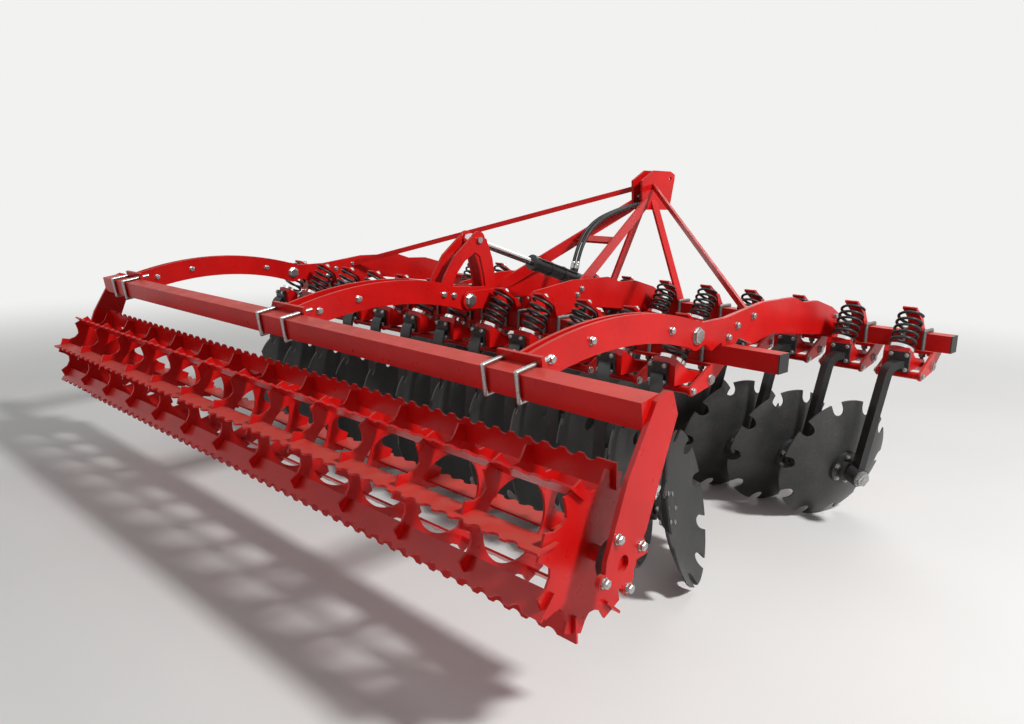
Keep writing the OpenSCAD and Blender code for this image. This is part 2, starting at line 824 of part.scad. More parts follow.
// Arched outline of an arm from the pivot to the tube.
module roller_arm_outline() {
    mid = (pivot + tube_centre) / 2;
    slope = atan2(arm_chord[1], arm_chord[0]) - 180;
    fall = arm_curve_r - roller_arm_rise;
    reach = 2 * arm_curve_r;
    difference() {
        union() {
            translate(mid) rotate(slope) translate([0, -fall]) intersection() {
                difference() {
                    circle(r = arm_curve_r + roller_arm_h / 2, $fn = rim_fn);
                    circle(r = arm_curve_r - roller_arm_h / 2, $fn = rim_fn);
                }
                polygon([
                    [0, 0],
                    [reach * sin(arm_half_angle), reach * cos(arm_half_angle)],
                    [0, 2 * reach],
                    [-reach * sin(arm_half_angle), reach * cos(arm_half_angle)]
                ]);
            }
            translate(pivot) circle(d = 1.08 * roller_arm_h);
        }
        translate(pivot) circle(d = pivot_pin_d + 2 * pin_gap);
    }
}

// Pair of plates, cut to the outline, with the flange that clamps them to the tube.
function tube_bolt_x(plate_x) = plate_x + tube_bolt_reach;
tube_bolt_z = half_beam + tube_bolt_d / 2 + seat_gap;
module arm_pair(plate_x) {
    bolt_x = tube_bolt_x(plate_x);
    flange_w = 2 * bolt_x + 3 * tube_bolt_d;
    flange_h = beam_size + 4 * tube_bolt_d;
    difference() {
        union() {
            for (s = [-1, 1]) side_plate(s * plate_x, roller_arm_t) children();
            tube_frame() translate([-flange_w / 2, half_beam, -flange_h / 2])
                cube([flange_w, flange_plate_t, flange_h]);
        }
        tube_frame() {
            translate([-flange_w, half_beam - 4 * beam_size, -4 * beam_size])
                cube([2 * flange_w, 4 * beam_size, 8 * beam_size]);
            for (x = [-bolt_x, bolt_x], z = [-tube_bolt_z, tube_bolt_z])
                translate([x, 0, z]) rotate([-90, 0, 0])
                    cylinder(d = tube_bolt_d + 2 * pin_gap, h = beam_size);
        }
    }
}

module roller_arms() {
    color("red") machine() for (x = [left_plate_x, right_plate_x])
        translate([x, 0, 0]) arm_pair(side_arm_x) roller_arm_outline();
}

module tube_bolt() {
    leg_l = beam_size + flange_plate_t + 3 * tube_bolt_d;
    tube_frame() {
        for (z = [-tube_bolt_z, tube_bolt_z]) {
            translate([0, -tube_bolt_z, z]) rotate([-90, 0, 0]) cylinder(d = tube_bolt_d, h = leg_l);
            translate([0, -tube_bolt_z, z]) sphere(d = tube_bolt_d);
        }
        translate([0, -tube_bolt_z, -tube_bolt_z]) cylinder(d = tube_bolt_d, h = 2 * tube_bolt_z);
    }
}

module tube_bolts() {
    color("silver") machine() for (s = [-1, 1]) {
        for (x = [left_plate_x, right_plate_x])
            translate([x + s * tube_bolt_x(side_arm_x), 0, 0]) tube_bolt();
        translate([s * tube_bolt_x(centre_arm_x), 0, 0]) tube_bolt();
    }
}

// Lift arch: the centre arm's plates run up to the rod's eye as a pointed arch.
function arch_point(share) =
    pivot + [share[0] * beam_size + share[1] * (eye[0] - pivot[0]), share[1] * (eye[1] - pivot[1])];
arch_outer_shares = [
    [-2.45, 0.1], [-2.3, 0.42], [-1.75, 0.75], [-0.6, 1.06],
    [0.65, 1.02], [1.5, 0.68], [2.2, 0.26], [2.2, 0]
];
arch_inner_shares = [
    [-1.5, 0.25], [-1.38, 0.44], [-0.85, 0.66], [-0.1, 0.8],
    [0.4, 0.72], [1.0, 0.42], [1.35, 0.2]
];
module arch_outline() {
    difference() {
        union() {
            roller_arm_outline();
            polygon([for (share = arch_outer_shares) arch_point(share)]);
            translate(eye) circle(r = 1.45 * cylinder_pin_d);
        }
        polygon([for (share = arch_inner_shares) arch_point(share)]);
        translate(eye) circle(d = cylinder_pin_d + 2 * seat_gap);
        translate(pivot) circle(d = pivot_pin_d + 2 * pin_gap);
    }
}

// A tube across X between two faces, on the right or the left.
module spacer(side, from, to, place, inner_d, outer_d) {
    side_plate(side * (from + to) / 2, to - from) difference() {
        translate(place) circle(d = outer_d);
        translate(place) circle(d = inner_d);
    }
}

arch_in = centre_arm_x - roller_arm_t / 2;
arch_out = centre_arm_x + roller_arm_t / 2;
module lift_arch() {
    color("red") machine() {
        arm_pair(centre_arm_x) arch_outline();
        for (s = [-1, 1])
            spacer(s, arch_out, centre_gap / 2 - pin_gap, pivot,
                pivot_pin_d + 2 * pin_gap, 2.4 * pivot_pin_d);
    }
}

// The arch's pin, and the rings that keep the rod's eye in its middle.
module arch_pins() {
    color("silver") machine() {
        cross_bar(0, eye, cylinder_pin_d, 2 * (arch_out + roller_arm_t));
        for (s = [-1, 1])
            spacer(s, rod_eye_w / 2 + pin_gap, arch_in - seat_gap, eye,
                cylinder_pin_d + 2 * seat_gap, 1.6 * cylinder_pin_d);
    }
}

// Side plates at the tube's ends, down to the roller's bearings, with an ear at each bearing bolt.
bearing_r = 2.1 * shaft_d;
ear_turn = 20;
end_top_shares = [[-1.34, -1.98], [0.04, 0.4], [0.62, 0.66], [0.98, 0.58], [1.34, -0.25], [0.52, -2.34]];
end_foot_shares = [
    [1.05, 0.7], [0.52, -0.17], [0.54, -0.59], [0.33, -0.87],
    [-0.36, -0.63], [-0.8, -0.53], [-0.81, -0.36], [-0.75, 0.3]
];
module roller_end_plates() {
    color("red") machine() for (s = [-1, 1])
        side_plate(s * (half_tube + end_plate_t / 2), end_plate_t)
            difference() {
                union() {
                    polygon(concat(
                        [for (share = end_top_shares) tube_centre + beam_size * share],
                        [for (share = end_foot_shares) roller_axis + bearing_r * share]
                    ));
                    for (k = [0 : 3])
                        circle_at(roller_axis + 0.88 * bearing_r * [cos(ear_turn + 90 * k), sin(ear_turn + 90 * k)],
                            0.22 * bearing_r);
                }
                circle_at(roller_axis, shaft_d / 2 + 2 * pin_gap);
            }
}

bearing_l = 0.7 * shaft_d;
module roller_bearings() {
    color("#333333") machine() for (s = [-1, 1])
        side_plate(s * (half_tube - bearing_l / 2), bearing_l)
            difference() {
                circle_at(roller_axis, 1.3 * shaft_d);
                circle_at(roller_axis, shaft_d / 2 + pin_gap);
            }
}

module circle_at(place, r) {
    translate(place) circle(r = r);
}

// Bars lean from the radius, angles counted from the top towards the front.
module bar_frame(i) {
    translate([0, roller_axis[0], roller_axis[1]])
        rotate([-first_bar - i * bar_turn, 0, 0])
        translate([0, 0, bar_mid_r])
        rotate([bar_lean, 0, 0]) children();
}

module bar_outline() {
    difference() {
        square([2 * bar_half_l, bar_w], center = true);
        for (k = [-scallops : scallops])
            translate([k * scallop_pitch, bar_w / 2 + scallop_r - scallop_depth])
                circle(r = scallop_r, $fn = 32);
    }
}

module roller_bars() {
    color("red") machine() for (i = [0 : bars - 1])
        bar_frame(i) rotate([90, 0, 0]) translate([0, 0, -bar_t / 2])
            linear_extrude(bar_t) bar_outline();
}

// Ring plates: a tooth at every bar, with a slot for it, and a dip in between.
ring_r = roller_r - bar_w * 0.25;
ring_pitch = 2 * (bar_half_l - 2 * ring_t) / (rings + 1);
ring_shares = [[-0.22, 1], [0.2, 1], [0.27, 0.85], [0.44, 0.77], [0.62, 0.77], [0.71, 0.85]];
function ring_point(i, share) =
    let (turn = first_bar + (i + share[0]) * bar_turn)
    roller_axis + ring_r * share[1] * [sin(turn), cos(turn)];
module ring_outline() {
    polygon([for (i = [0 : bars - 1], share = ring_shares) ring_point(i, share)]);
}

module bar_slots(x) {
    for (i = [0 : bars - 1])
        bar_frame(i) translate([x - ring_t, -bar_t / 2 - seat_gap, -bar_w / 2 - seat_gap])
            cube([2 * ring_t, bar_t + 2 * seat_gap, 2 * bar_w]);
}

module roller_rings() {
    end_ring_x = bar_half_l - 2 * ring_t;
    color("red") machine() {
        for (k = [1 : rings]) {
            x = k * ring_pitch - end_ring_x;
            difference() {
                side_plate(x, ring_t) difference() {
                    ring_outline();
                    circle_at(roller_axis, ring_hole_r);
                }
                bar_slots(x);
            }
        }
        for (s = [-1, 1]) {
            difference() {
                side_plate(s * end_ring_x, ring_t) ring_outline();
                bar_slots(s * end_ring_x);
            }
            cross_bar(s * (end_ring_x + shaft_d), roller_axis, shaft_d, 2 * shaft_d);
        }
    }
}

// A hose: rings swept along the route, in a plane across X.
module hose(x) {
    points = [
        for (k = [0 : hose_rings - 1], a = [0 : hose_sides - 1])
            let (turn = 360 * a / hose_sides, way = hose_way(k) / norm(hose_way(k)), r = hose_d / 2)
            [x + r * cos(turn), hose_line[k][0] - r * sin(turn) * way[1], hose_line[k][1] + r * sin(turn) * way[0]]
    ];
    walls = [
        for (k = [0 : hose_rings - 2], a = [0 : hose_sides - 1])
            let (b = (a + 1) % hose_sides, low = k * hose_sides, high = low + hose_sides)
            each [[low + a, low + b, high + b], [low + a, high + b, high + a]]
    ];
    first = [for (a = [hose_sides - 1 : -1 : 0]) a];
    last = [for (a = [0 : hose_sides - 1]) (hose_rings - 1) * hose_sides + a];
    polyhedron(points, concat(walls, [first, last]));
}

module hose_left() {
    color("#151515") machine() hose(-port_x);
}

module hose_right() {
    color("#151515") machine() hose(port_x);
}

// Cylinder's frame: x from the barrel's pin to the rod's eye.
module cylinder_frame() {
    translate([0, base[0], base[1]]) rotate([-cylinder_angle, 0, 0]) rotate([90, 0, 0]) children();
}

barrel_foot = 0.7 * cylinder_pin_d;
collar_d = 1.12 * barrel_d;
collar_l = 0.5 * barrel_d;
band_shares = [0.5, 0.72];
port_place = 6 * cylinder_pin_d;
port_rise = 0.72 * barrel_d;
pipe_place = barrel_d * [0.42, 0.34];
module cylinder_barrel() {
    color("#3a3a3a") machine() cylinder_frame() difference() {
        union() {
            translate([0, 0, barrel_foot]) cylinder(d = barrel_d, h = barrel_l - barrel_foot);
            rotate([0, 90, 0]) cylinder(d = 2 * cylinder_pin_d, h = barrel_d, center = true);
            translate([0, 0, barrel_l - collar_l]) cylinder(d = collar_d, h = collar_l);
            for (share = band_shares)
                translate([0, 0, share * barrel_l]) cylinder(d = 1.08 * barrel_d, h = collar_l / 3);
            for (x = [-port_x, port_x])
                translate([x, 0, port_place]) rotate([-90, 0, 0]) cylinder(d = 1.2 * hose_d, h = port_rise);
            translate([pipe_place[0], pipe_place[1], port_place])
                cylinder(d = barrel_d / 6, h = barrel_l - collar_l / 2 - port_place);
        }
        rotate([0, 90, 0]) cylinder(d = cylinder_pin_d + 2 * pin_gap, h = 2 * barrel_d, center = true);
        translate([0, 0, 2 * cylinder_pin_d]) cylinder(d = rod_d + 2 * pin_gap, h = cylinder_l);
    }
}

module cylinder_rod() {
    color("silver") machine() cylinder_frame() difference() {
        union() {
            translate([0, 0, cylinder_l / 3]) cylinder(d = rod_d, h = cylinder_l * 2 / 3);
            translate([0, 0, cylinder_l]) rotate([0, 90, 0])
                cylinder(d = 2 * cylinder_pin_d, h = rod_eye_w, center = true);
        }
        translate([0, 0, cylinder_l]) rotate([0, 90, 0])
            cylinder(d = cylinder_pin_d + 8 * pin_gap, h = 2 * barrel_d, center = true);
    }
}

front_beam();
rear_beam();
beam_end_caps();
side_longitudinals();
inner_longitudinals();
pivot_plates();
cylinder_mount();
tower_cheeks();
hose_holder();
tower_legs();
tower_braces();
diagonal_ties();
lower_link_ears();
hose_left();
hose_right();
front_hangers();
rear_hangers();
arm_holders();
clamp_bolts();
spring_straps();
spring_seats();
springs();
front_arms();
rear_arms();
pivot_pins();
roller_tube();
roller_arms();
tube_bolts();
lift_arch();
arch_pins();
roller_end_plates();
roller_bearings();
roller_rings();
roller_bars();
cylinder_barrel();
cylinder_rod();
for (i = [0 : discs_per_row - 1]) {
    front_disc(i);
    rear_disc(i);
}
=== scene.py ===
# Mounted compact disc harrow on a pale studio floor: finishes, fasteners, light and camera.
# Metres, in the model's own frame: +X to the machine's right, +Y forward to the tractor, +Z up.
import json
import math

import bpy
from mathutils import Matrix, Vector


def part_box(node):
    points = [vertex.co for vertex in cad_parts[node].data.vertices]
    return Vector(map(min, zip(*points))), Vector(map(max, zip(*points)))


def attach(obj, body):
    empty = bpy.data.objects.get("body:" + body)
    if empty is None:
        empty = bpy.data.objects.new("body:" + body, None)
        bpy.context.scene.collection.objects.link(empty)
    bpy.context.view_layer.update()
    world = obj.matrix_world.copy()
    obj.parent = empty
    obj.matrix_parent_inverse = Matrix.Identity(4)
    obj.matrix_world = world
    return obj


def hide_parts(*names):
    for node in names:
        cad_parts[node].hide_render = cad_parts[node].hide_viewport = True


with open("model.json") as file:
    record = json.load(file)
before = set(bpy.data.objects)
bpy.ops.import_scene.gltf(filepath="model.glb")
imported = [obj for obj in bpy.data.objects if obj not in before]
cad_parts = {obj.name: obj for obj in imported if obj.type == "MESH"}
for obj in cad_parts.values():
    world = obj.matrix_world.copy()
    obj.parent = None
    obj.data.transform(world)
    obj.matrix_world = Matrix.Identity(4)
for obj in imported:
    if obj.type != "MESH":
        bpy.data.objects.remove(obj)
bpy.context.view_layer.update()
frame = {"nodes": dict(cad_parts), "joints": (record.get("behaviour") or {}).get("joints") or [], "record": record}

MM = 0.001

# Disc units: sizes that the model's solids have and the frame does not give.
# A pair of places is along Y and Z from the middle of the unit's beam.
BEAM = 80 * MM
DISC_SIDE = 202.5 * MM
CLAMP_T = 14 * MM
CLAMP_PITCH = 92 * MM
CLAMP_LEG_Y = 49.3 * MM
HANGER_W = 200 * MM
STOP_TUBE = (-192 * MM, -137.6 * MM)
HOLDER_PIN = (-57.6 * MM, -107.2 * MM)
ARM_PAD_BACK = -280.2 * MM
ARM_PAD_SIDE = 20 * MM
ARM_PAD_Z = -67.6 * MM
ARM_PAD_BOLT = 34 * MM
STRAP_TOP = (-105 * MM, 145.3 * MM)
SPRING_LEAN = math.radians(32)
DISC_DISH = 78.7 * MM
FLANGE_T = 12 * MM
FLANGE_BOLT_R = 65 * MM
FLANGE_BOLTS = 6
BOSS_END = 183 * MM

# Plates across X: where their middles stand, and how far it is from there to the face under a head.
SIDE_PLATES = (-1620 * MM, 1350 * MM)
INNER_PLATES = (-270 * MM, 270 * MM)
MIDDLE = (0,)
SIDE_FACE = 10 * MM
INNER_FACE = 7 * MM
ARM_FACE = 24.8 * MM
ARM_PIN_END = 25.6 * MM
ARCH_FACE = 51 * MM
CENTRE_PIN_END = 68 * MM
TOWER_INNER_FACE = 27 * MM
END_PLATE_FACE = 1880 * MM

# Bolts through those plates: millimetres along Y and Z from the rear beam's middle.
PIVOT = [(-285, 112)]
ARM_BOLTS = [(-471, 152), (-946, 167), (-1149, 131)]
ARCH_BOLTS = [(-381, 140), (-446, 150), (-946, 167), (-1149, 131)]
SIDE_BOLTS = [(-20, 75), (45, 120), (1040, 70), (1085, 62), (180, 148)]
INNER_BOLTS = [(-20, 75), (45, 120), (1040, 70), (296, 120), (330, 150)]
TOWER_BOLTS = [(1200, 590), (1300, 600), (1285, 704), (1230, 640)]
# A bearing's ring of bolts: its middle and radius in millimetres, and its first bolt's turn in degrees.
ROLLER_AXIS = (-1410, -306)
BEARING_BOLT_R = 83
BEARING_BOLT_COUNT = 4
BEARING_BOLT_START = 20

# Fastener sizes: across flats, head height, and the stud end that stands out of a nut.
NO_STUD = 0.1 * MM
CLAMP_NUT = (27 * MM, 15 * MM, 8 * MM)
LOW_BOLT = (24 * MM, 10 * MM, NO_STUD)
PLATE_BOLT = (24 * MM, 12 * MM, NO_STUD)
BEARING_BOLT = (24 * MM, 13 * MM, NO_STUD)
ARM_PAD_HEAD = (16 * MM, 8 * MM, NO_STUD)
HOLDER_NUT = (36 * MM, 10 * MM, 2 * MM)
CAP_NUT = (30 * MM, 12 * MM, 6 * MM)
DISC_NUT = (19 * MM, 10 * MM, 3 * MM)
AXLE_NUT = (60 * MM, 20 * MM, 2 * MM)
PIVOT_NUT = (55 * MM, 14 * MM, NO_STUD)

# Shares of a fastener's width across flats, of its head height and of its corner radius.
WASHER_WIDTH_SHARE = 1.3
STUD_WIDTH_SHARE = 0.62
WASHER_HEIGHT_SHARE = 0.18
HEX_HEIGHT_SHARE = 0.82
CHAMFER_TOP_SHARE = 0.8
WASHER_SIDES = 20
STUD_SIDES = 14
HEX_SIDES = 6

# Hoses: the route of the solids, in millimetres along Y and Z from the rear beam's middle.
HOSE_X = 15 * MM
HOSE_D = 20 * MM
HOSE_STEPS = 8
HOSE_ROUTE = [(598, 225), (615, 283), (650, 360), (715, 440), (810, 500),
              (930, 540), (1050, 568), (1170, 590), (1290, 604), (1370, 604)]
# A ferrule's profile: radius, and height along the hose from its end, in millimetres.
FERRULE = [(10.2, -2), (14, -2), (14, 12), (12.4, 14), (12.4, 20),
           (13, 22), (12.4, 24), (12.4, 34), (11.4, 38), (10.2, 38)]
FERRULE_SIDES = 24

# Studio: the floor runs out into the backdrop between two distances from the machine.
BACKDROP = "#f2f2f1"
FLOOR_HALF = 60.0
FLOOR_PATCH = 1.5
FADE_NEAR = 3.5
FADE_FAR = 9.0
WORLD_STRENGTH = 0.28
LAMP_AIM = Vector((0, 0, 0.7))
# Each lamp's name, place, size across and power in watts.
LAMPS = [("key_lamp", (6.5, 0.5, 6.5), 1.0, 700),
         ("fill_lamp", (-3.0, -6.5, 4.5), 4.0, 60),
         ("front_lamp", (-1.0, 6.5, 5.5), 4.0, 160)]

# Camera: behind the right rear corner at chest height, looking forward, left and a little down.
CAMERA_PLACE = Vector((3.053, -2.994, 1.516))
CAMERA_YAW = math.radians(44.03)
CAMERA_DIP = math.radians(11.69)
CAMERA_ROLL = math.radians(1.384)
FOCAL_PIXELS = 818.0
PICTURE_WIDTH = 1024
SENSOR_WIDTH = 36


def beam_middle(node):
    """The middle of a beam's section, on the machine's middle plane."""
    low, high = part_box(node)
    return Vector((0, (low[1] + high[1]) / 2, (low[2] + high[2]) / 2))


REAR_BEAM = beam_middle("rear_beam")
FRONT_BEAM = beam_middle("front_beam")
DISC_JOINTS = [joint for joint in frame["joints"] if "_disc_" in joint["name"]]


def from_rear_beam(x, place):
    """A point at x, at a place in millimetres along Y and Z from the rear beam's middle."""
    return REAR_BEAM + Vector((x, place[0] * MM, place[1] * MM))


def ring_directions(axis, count):
    """Directions square to an axis, evenly round it."""
    first = axis.orthogonal().normalized()
    second = axis.cross(first)
    for k in range(count):
        turn = k * math.tau / count
        yield math.cos(turn) * first + math.sin(turn) * second


def scene_object(name, data):
    """A new object in the scene, at the origin."""
    made = bpy.data.objects.new(name, data)
    bpy.context.scene.collection.objects.link(made)
    return made


# Colour and node helpers.
def linear(hex_colour):
    """An sRGB hex colour as linear RGBA."""
    channels = [int(hex_colour[i:i + 2], 16) / 255 for i in (1, 3, 5)]
    return [c / 12.92 if c <= 0.04045 else ((c + 0.055) / 1.055) ** 2.4 for c in channels] + [1.0]


def set_node(tree, node, inputs=None, stops=(), **settings):
    """Gives a node its settings, its inputs by name or number, and a colour ramp's stops.

    An input is a plain value, a socket that links to it, or a node whose first output does.
    """
    for name, value in settings.items():
        setattr(node, name, value)
    for name, source in (inputs or {}).items():
        if isinstance(source, bpy.types.Node):
            source = source.outputs[0]
        if isinstance(source, bpy.types.NodeSocket):
            tree.links.new(source, node.inputs[name])
        else:
            node.inputs[name].default_value = source
    if stops:
        elements = node.color_ramp.elements
        while len(elements) < len(stops):
            elements.new(0.5)
        for element, (position, colour) in zip(elements, stops):
            element.position = position
            element.color = linear(colour)
    return node


def add_node(tree, kind, inputs=None, stops=(), **settings):
    """Adds a node with its settings, inputs and stops."""
    return set_node(tree, tree.nodes.new(kind), inputs, stops, **settings)


def new_material(name):
    """A new material, its tree, its shader and its Object coordinates."""
    material = bpy.data.materials.new(name)
    material.use_nodes = True
    tree = material.node_tree
    shader = tree.nodes["Principled BSDF"]
    place = tree.nodes.new("ShaderNodeTexCoord").outputs["Object"]
    return material, tree, shader, place


# Sockets of a Mix node that mixes colours.
MIX_FACTOR, MIX_A, MIX_B = 0, 6, 7
MIX_RESULT = 2


# Powder coat on steel: an even red sheen, dulled by a film of dust on the faces that look up.
# Its orange peel is finer than a pixel, so it is drawn at 4 mm.
def red_powder_coat():
    material, tree, shader, place = new_material("red_powder_coat_on_steel")
    shade = add_node(tree, "ShaderNodeTexNoise", {"Vector": place, "Scale": 1 / (220 * MM), "Detail": 3.0})
    coat = add_node(tree, "ShaderNodeValToRGB", {"Fac": shade}, [(0.3, "#b40d0c"), (0.7, "#cb1412")])
    patch = add_node(tree, "ShaderNodeTexNoise", {"Vector": place, "Scale": 1 / (60 * MM), "Detail": 6.0})
    normal = tree.nodes.new("ShaderNodeNewGeometry").outputs["Normal"]
    upward = add_node(tree, "ShaderNodeSeparateXYZ", {"Vector": normal}).outputs["Z"]
    settled = add_node(tree, "ShaderNodeMapRange", {"Value": upward, "From Min": 0.6, "From Max": 1.0})
    dust = add_node(tree, "ShaderNodeMath", {0: patch, 1: settled}, operation="MULTIPLY")
    film = add_node(tree, "ShaderNodeMapRange", {"Value": dust, "To Min": 0.0, "To Max": 0.6})
    dusty = add_node(tree, "ShaderNodeMix", {
        MIX_FACTOR: film, MIX_A: coat, MIX_B: linear("#8f6a5c")}, data_type="RGBA")
    gloss = add_node(tree, "ShaderNodeMapRange", {"Value": patch, "To Min": 0.2, "To Max": 0.42})
    dulled = add_node(tree, "ShaderNodeMath", {0: gloss, 1: film}, operation="ADD")
    peel = add_node(tree, "ShaderNodeTexNoise", {"Vector": place, "Scale": 1 / (4 * MM), "Detail": 2.0})
    relief = add_node(tree, "ShaderNodeBump", {"Height": peel, "Strength": 0.08, "Distance": 0.3 * MM})
    set_node(tree, shader, {
        "Base Color": dusty.outputs[MIX_RESULT], "Roughness": dulled, "Normal": relief,
        "Specular IOR Level": 0.22, "Coat Weight": 0.08, "Coat Roughness": 0.12})
    return material


# Dip paint on forgings and springs: a satin black that shows the scale under it.
def black_dip_paint():
    material, tree, shader, place = new_material("black_dip_paint_on_steel")
    patch = add_node(tree, "ShaderNodeTexNoise", {"Vector": place, "Scale": 1 / (35 * MM), "Detail": 5.0})
    colour = add_node(tree, "ShaderNodeValToRGB", {"Fac": patch}, [(0.3, "#141415"), (0.75, "#242423")])
    satin = add_node(tree, "ShaderNodeMapRange", {"Value": patch, "To Min": 0.32, "To Max": 0.5})
    scale = add_node(tree, "ShaderNodeTexNoise", {"Vector": place, "Scale": 1 / (6 * MM), "Detail": 3.0})
    relief = add_node(tree, "ShaderNodeBump", {"Height": scale, "Strength": 0.12, "Distance": 0.4 * MM})
    set_node(tree, shader, {"Base Color": colour, "Roughness": satin, "Normal": relief})
    return material


# Boron steel disc under thin transport paint: dark grey, with brownish scuffs.
def disc_steel():
    material, tree, shader, place = new_material("painted_boron_steel_disc")
    patch = add_node(tree, "ShaderNodeTexNoise", {"Vector": place, "Scale": 1 / (90 * MM), "Detail": 6.0})
    fine = add_node(tree, "ShaderNodeTexNoise", {"Vector": place, "Scale": 1 / (9 * MM), "Detail": 4.0})
    scuffs = add_node(tree, "ShaderNodeMath", {0: patch, 1: fine}, operation="MULTIPLY")
    colour = add_node(tree, "ShaderNodeValToRGB", {"Fac": scuffs},
                      [(0.12, "#2c2c2c"), (0.3, "#383837"), (0.5, "#4a4038")])
    satin = add_node(tree, "ShaderNodeMapRange", {"Value": patch, "To Min": 0.34, "To Max": 0.52})
    relief = add_node(tree, "ShaderNodeBump", {"Height": fine, "Strength": 0.08, "Distance": 0.4 * MM})
    set_node(tree, shader, {"Base Color": colour, "Roughness": satin, "Normal": relief, "Metallic": 0.2})
    return material


# Zinc plate: a cool grey with a faint crystal pattern, drawn at 6 mm so that it shows.
def zinc_plate():
    material, tree, shader, place = new_material("zinc_plated_steel")
    crystal = add_node(tree, "ShaderNodeTexVoronoi", {"Vector": place, "Scale": 1 / (6 * MM)})
    colour = add_node(tree, "ShaderNodeValToRGB", {"Fac": crystal}, [(0.1, "#c3c4c2"), (0.7, "#9b9c9a")])
    sheen = add_node(tree, "ShaderNodeMapRange", {"Value": crystal, "To Min": 0.26, "To Max": 0.42})
    set_node(tree, shader, {"Base Color": colour, "Roughness": sheen, "Metallic": 1.0})
    return material


# Phosphated bolt steel: a dull grey, a little oily.
def phosphated_steel():
    material, tree, shader, place = new_material("phosphated_bolt_steel")
    patch = add_node(tree, "ShaderNodeTexNoise", {"Vector": place, "Scale": 1 / (14 * MM), "Detail": 4.0})
    colour = add_node(tree, "ShaderNodeValToRGB", {"Fac": patch}, [(0.3, "#69696b"), (0.7, "#7f7d79")])
    dull = add_node(tree, "ShaderNodeMapRange", {"Value": patch, "To Min": 0.4, "To Max": 0.58})
    set_node(tree, shader, {"Base Color": colour, "Roughness": dull, "Metallic": 0.7})
    return material


# Hard chrome on a ground rod: bright, with faint marks, drawn at 3 mm so that they show.
def hard_chrome():
    material, tree, shader, place = new_material("hard_chrome_plate")
    marks = add_node(tree, "ShaderNodeTexNoise", {"Vector": place, "Scale": 1 / (3 * MM), "Detail": 2.0})
    colour = add_node(tree, "ShaderNodeValToRGB", {"Fac": marks}, [(0.3, "#d2d3d4"), (0.7, "#e4e4e3")])
    polish = add_node(tree, "ShaderNodeMapRange", {"Value": marks, "To Min": 0.08, "To Max": 0.2})
    set_node(tree, shader, {"Base Color": colour, "Roughness": polish, "Metallic": 1.0})
    return material


# Moulded polyethylene caps: matt black with a mould's grain, drawn at 2 mm so that it shows.
def moulded_plastic():
    material, tree, shader, place = new_material("moulded_black_polyethylene")
    grain = add_node(tree, "ShaderNodeTexNoise", {"Vector": place, "Scale": 1 / (2 * MM), "Detail": 2.0})
    colour = add_node(tree, "ShaderNodeValToRGB", {"Fac": grain}, [(0.3, "#151515"), (0.7, "#1f1f1f")])
    relief = add_node(tree, "ShaderNodeBump", {"Height": grain, "Strength": 0.1, "Distance": 0.2 * MM})
    set_node(tree, shader, {"Base Color": colour, "Normal": relief, "Roughness": 0.55})
    return material


# Hydraulic hose: matt black rubber over wire braid, which shows as a faint weave under the cover.
# The weave is drawn at 8 mm, coarser than a real braid, so that it shows.
def hose_rubber():
    material, tree, shader, place = new_material("hydraulic_hose_rubber")
    weave = add_node(tree, "ShaderNodeTexWave", {
        "Vector": place, "Scale": 1 / (8 * MM), "Distortion": 1.5}).outputs["Fac"]
    colour = add_node(tree, "ShaderNodeValToRGB", {"Fac": weave}, [(0.2, "#121213"), (0.8, "#1d1d1e")])
    rub = add_node(tree, "ShaderNodeTexNoise", {"Vector": place, "Scale": 1 / (12 * MM), "Detail": 3.0})
    matt = add_node(tree, "ShaderNodeMapRange", {"Value": rub, "To Min": 0.45, "To Max": 0.62})
    relief = add_node(tree, "ShaderNodeBump", {"Height": weave, "Strength": 0.1, "Distance": 0.3 * MM})
    set_node(tree, shader, {"Base Color": colour, "Roughness": matt, "Normal": relief})
    return material


ZINC = zinc_plate()
DARK = phosphated_steel()
RUBBER = hose_rubber()
SLOT_FINISH = {
    "red_paint": red_powder_coat(),
    "black_paint": black_dip_paint(),
    "disc_steel": disc_steel(),
    "dark_steel": DARK,
    "zinc_steel": ZINC,
    "bright_steel": hard_chrome(),
    "black_plastic": moulded_plastic(),
    "hose_rubber": RUBBER,
}
node_slot = {part["node"]: part["material_slot"] for part in frame["record"]["subparts"]}
for node_name, node_object in frame["nodes"].items():
    node_object.data.materials.clear()
    node_object.data.materials.append(SLOT_FINISH[node_slot[node_name]])


